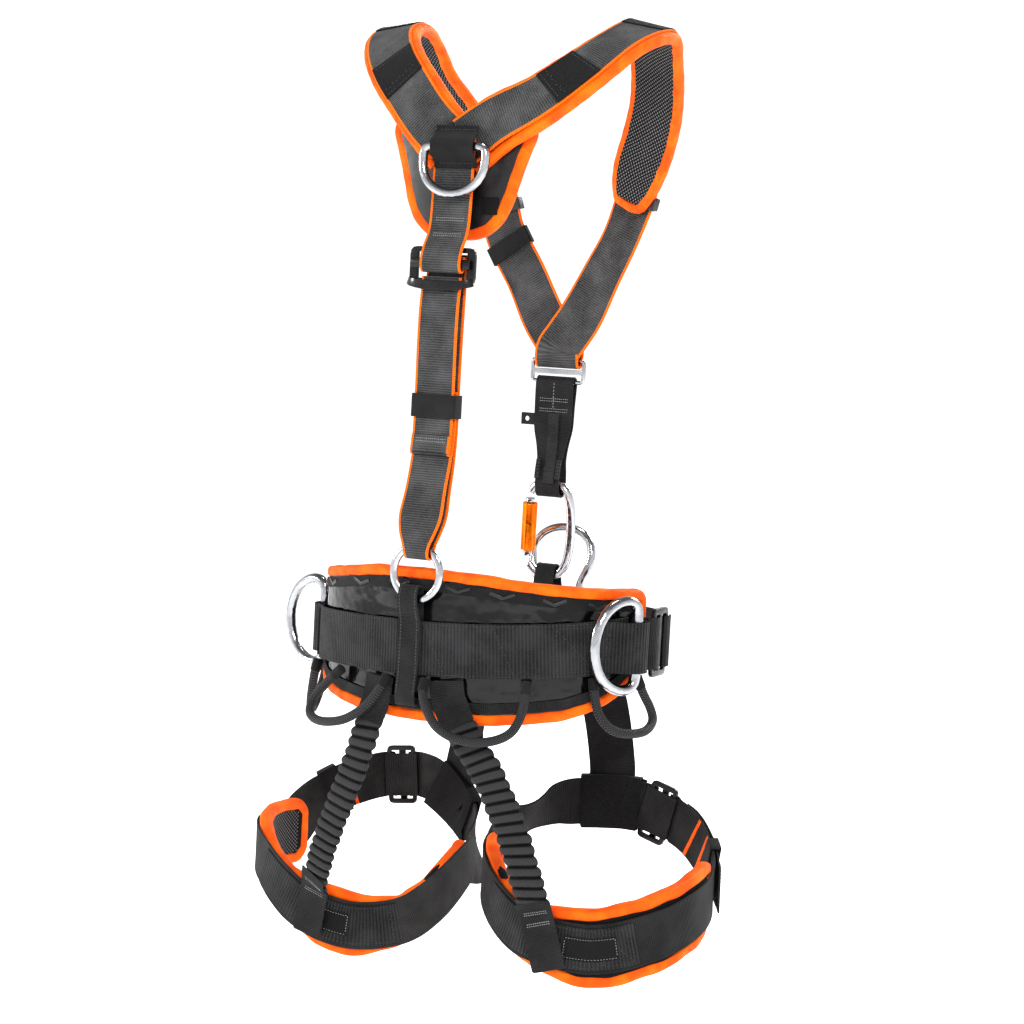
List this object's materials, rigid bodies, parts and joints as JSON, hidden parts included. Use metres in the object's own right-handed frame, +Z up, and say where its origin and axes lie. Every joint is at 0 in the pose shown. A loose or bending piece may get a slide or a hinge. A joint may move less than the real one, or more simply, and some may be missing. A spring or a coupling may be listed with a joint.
{
  "type": "full-body safety harness",
  "caption": "Full-body fall-arrest and work-positioning harness with padded yoke, waist belt and leg loops, metal rings, adjusters and a chest carabiner.",
  "frame": {"origin": "centre of the wearer's waist, at the mid height of the belt band", "axes": "+Z up along the wearer, +Y towards the wearer's front, +X towards the wearer's right"},
  "size_m": [0.4521, 0.2953, 0.8402],
  "materials": {
    "webbing_grey": "woven polyester, fine cross ribs, thin orange edge threads",
    "webbing_black": "woven polyester, matte, fine cross ribs",
    "pad_textile": "padded textile with bright orange bound edges and a dark spacer mesh lining",
    "belt_laminate": "glossy black coated textile over foam, orange bound edges",
    "steel": "polished stainless steel, lightly worn",
    "alloy": "bright polished forged alloy",
    "anodised_orange": "anodised, satin",
    "black_steel": "black coated steel, satin",
    "black_plastic": "moulded, satin",
    "elastic_black": "ribbed elastic band",
    "gear_tube": "braided sheath over a stiff core",
    "label_fabric": "blank woven tag"
  },
  "bodies": {
    "harness": {"yoke_pad": "pad_textile", "shoulder_strap_right": "webbing_grey", "shoulder_strap_left": "webbing_grey", "front_adjuster_right": "black_plastic", "front_adjuster_left": "black_plastic", "back_strap_upper": "webbing_grey", "back_strap_lower": "webbing_grey", "back_strap_tail": "webbing_grey", "back_adjuster_frame": "black_steel", "dorsal_ring_band": "webbing_black", "dorsal_tag": "label_fabric", "waist_ring_sling": "webbing_black", "waist_pad": "belt_laminate", "waist_band": "webbing_black", "side_ring_tab_right": "webbing_black", "belt_buckle_right": "black_steel", "belt_tab_right": "webbing_black", "belt_front_right": "webbing_black", "side_ring_tab_left": "webbing_black", "belt_buckle_left": "black_steel", "belt_tab_left": "webbing_black", "belt_front_left": "webbing_black", "gear_loop_rear_right": "gear_tube", "gear_loop_rear_left": "gear_tube", "gear_loop_front_right": "gear_tube", "gear_loop_front_left": "gear_tube", "belt_centre_panel": "webbing_black", "chest_ring": "steel", "chest_connector": "webbing_grey", "chest_connector_tab": "webbing_black", "carabiner_body": "alloy", "ventral_sling": "webbing_black", "leg_pad_right": "pad_textile", "leg_strap_right": "webbing_black", "riser_right": "elastic_black", "leg_buckle_right": "black_steel", "leg_strap_tail_right": "webbing_black", "leg_link_right": "webbing_black", "leg_link_fold_right": "webbing_black", "leg_pad_left": "pad_textile", "leg_strap_left": "webbing_black", "riser_left": "elastic_black", "leg_buckle_left": "black_steel", "leg_strap_tail_left": "webbing_black", "leg_link_left": "webbing_black", "leg_link_fold_left": "webbing_black"},
    "dorsal_ring": {"dorsal_ring": "steel"},
    "back_keeper": {"back_strap_keeper": "elastic_black"},
    "back_bar": {"back_adjuster_bar": "black_steel"},
    "front_keeper": {"front_keeper_left": "elastic_black"},
    "waist_ring": {"waist_ring": "steel"},
    "side_ring_right": {"side_ring_right": "steel"},
    "side_ring_left": {"side_ring_left": "steel"},
    "ventral_ring": {"ventral_ring": "steel"},
    "gate": {"carabiner_gate": "alloy"},
    "sleeve": {"carabiner_sleeve": "anodised_orange"},
    "leg_bar_right": {"leg_buckle_bar_right": "black_steel"},
    "leg_bar_left": {"leg_buckle_bar_left": "black_steel"},
    "leg_keeper_right": {"leg_keeper_right": "elastic_black"},
    "leg_keeper_left": {"leg_keeper_left": "elastic_black"}
  },
  "joints": [
    {"name": "dorsal_ring_swing", "type": "hinge", "parent": "harness", "child": "dorsal_ring", "pos_m": [0.0065, -0.1053, 0.435], "axis": [-1, 0, 0], "range_deg": [0, 165]},
    {"name": "back_keeper_slide", "type": "slide", "parent": "harness", "child": "back_keeper", "axis": [0, 0, 1], "range_m": [-0.012, 0.02]},
    {"name": "back_bar_slide", "type": "slide", "parent": "harness", "child": "back_bar", "axis": [0, 0, 1], "range_m": [0, 0.003]},
    {"name": "front_keeper_slide", "type": "slide", "parent": "harness", "child": "front_keeper", "axis": [0.5203, 0.0138, -0.8539], "range_m": [0, 0.012]},
    {"name": "waist_ring_spin", "type": "hinge", "parent": "harness", "child": "waist_ring", "pos_m": [0.002, -0.127, 0.07], "axis": [0, 1, 0], "continuous": true},
    {"name": "side_ring_right_swing", "type": "hinge", "parent": "harness", "child": "side_ring_right", "pos_m": [0.1686, -0.0321, 0.0165], "axis": [0, 0, 1], "range_deg": [0, 165]},
    {"name": "side_ring_left_swing", "type": "hinge", "parent": "harness", "child": "side_ring_left", "pos_m": [-0.1632, -0.0093, 0.002], "axis": [0, 0, -1], "range_deg": [-110, 60]},
    {"name": "ventral_ring_swing", "type": "hinge", "parent": "harness", "child": "ventral_ring", "pos_m": [0.001, 0.1344, 0.03], "axis": [-1, 0, 0], "range_deg": [0, 105]},
    {"name": "gate_open", "type": "hinge", "parent": "harness", "child": "gate", "pos_m": [-0.0266, 0.12549, 0.067], "axis": [0.0121, 0.9893, 0.1452], "range_deg": [0, 25]},
    {"name": "sleeve_twist", "type": "hinge", "parent": "gate", "child": "sleeve", "pos_m": [-0.0266, 0.12549, 0.067], "axis": [0.0819, -0.1457, 0.9859], "range_deg": [0, 90]},
    {"name": "leg_bar_right_slide", "type": "slide", "parent": "harness", "child": "leg_bar_right", "axis": [-0.9645, 0.0674, 0.2555], "range_m": [-0.002, 0.002]},
    {"name": "leg_bar_left_slide", "type": "slide", "parent": "harness", "child": "leg_bar_left", "axis": [-0.9662, -0.2409, -0.0919], "range_m": [-0.002, 0.002]},
    {"name": "leg_keeper_right_slide", "type": "slide", "parent": "harness", "child": "leg_keeper_right", "axis": [-0.6359, 0.6585, 0.4025], "range_m": [-0.002, 0.002]},
    {"name": "leg_keeper_left_slide", "type": "slide", "parent": "harness", "child": "leg_keeper_left", "axis": [-0.5776, -0.6883, -0.4389], "range_m": [-0.002, 0.002]}
  ]
}
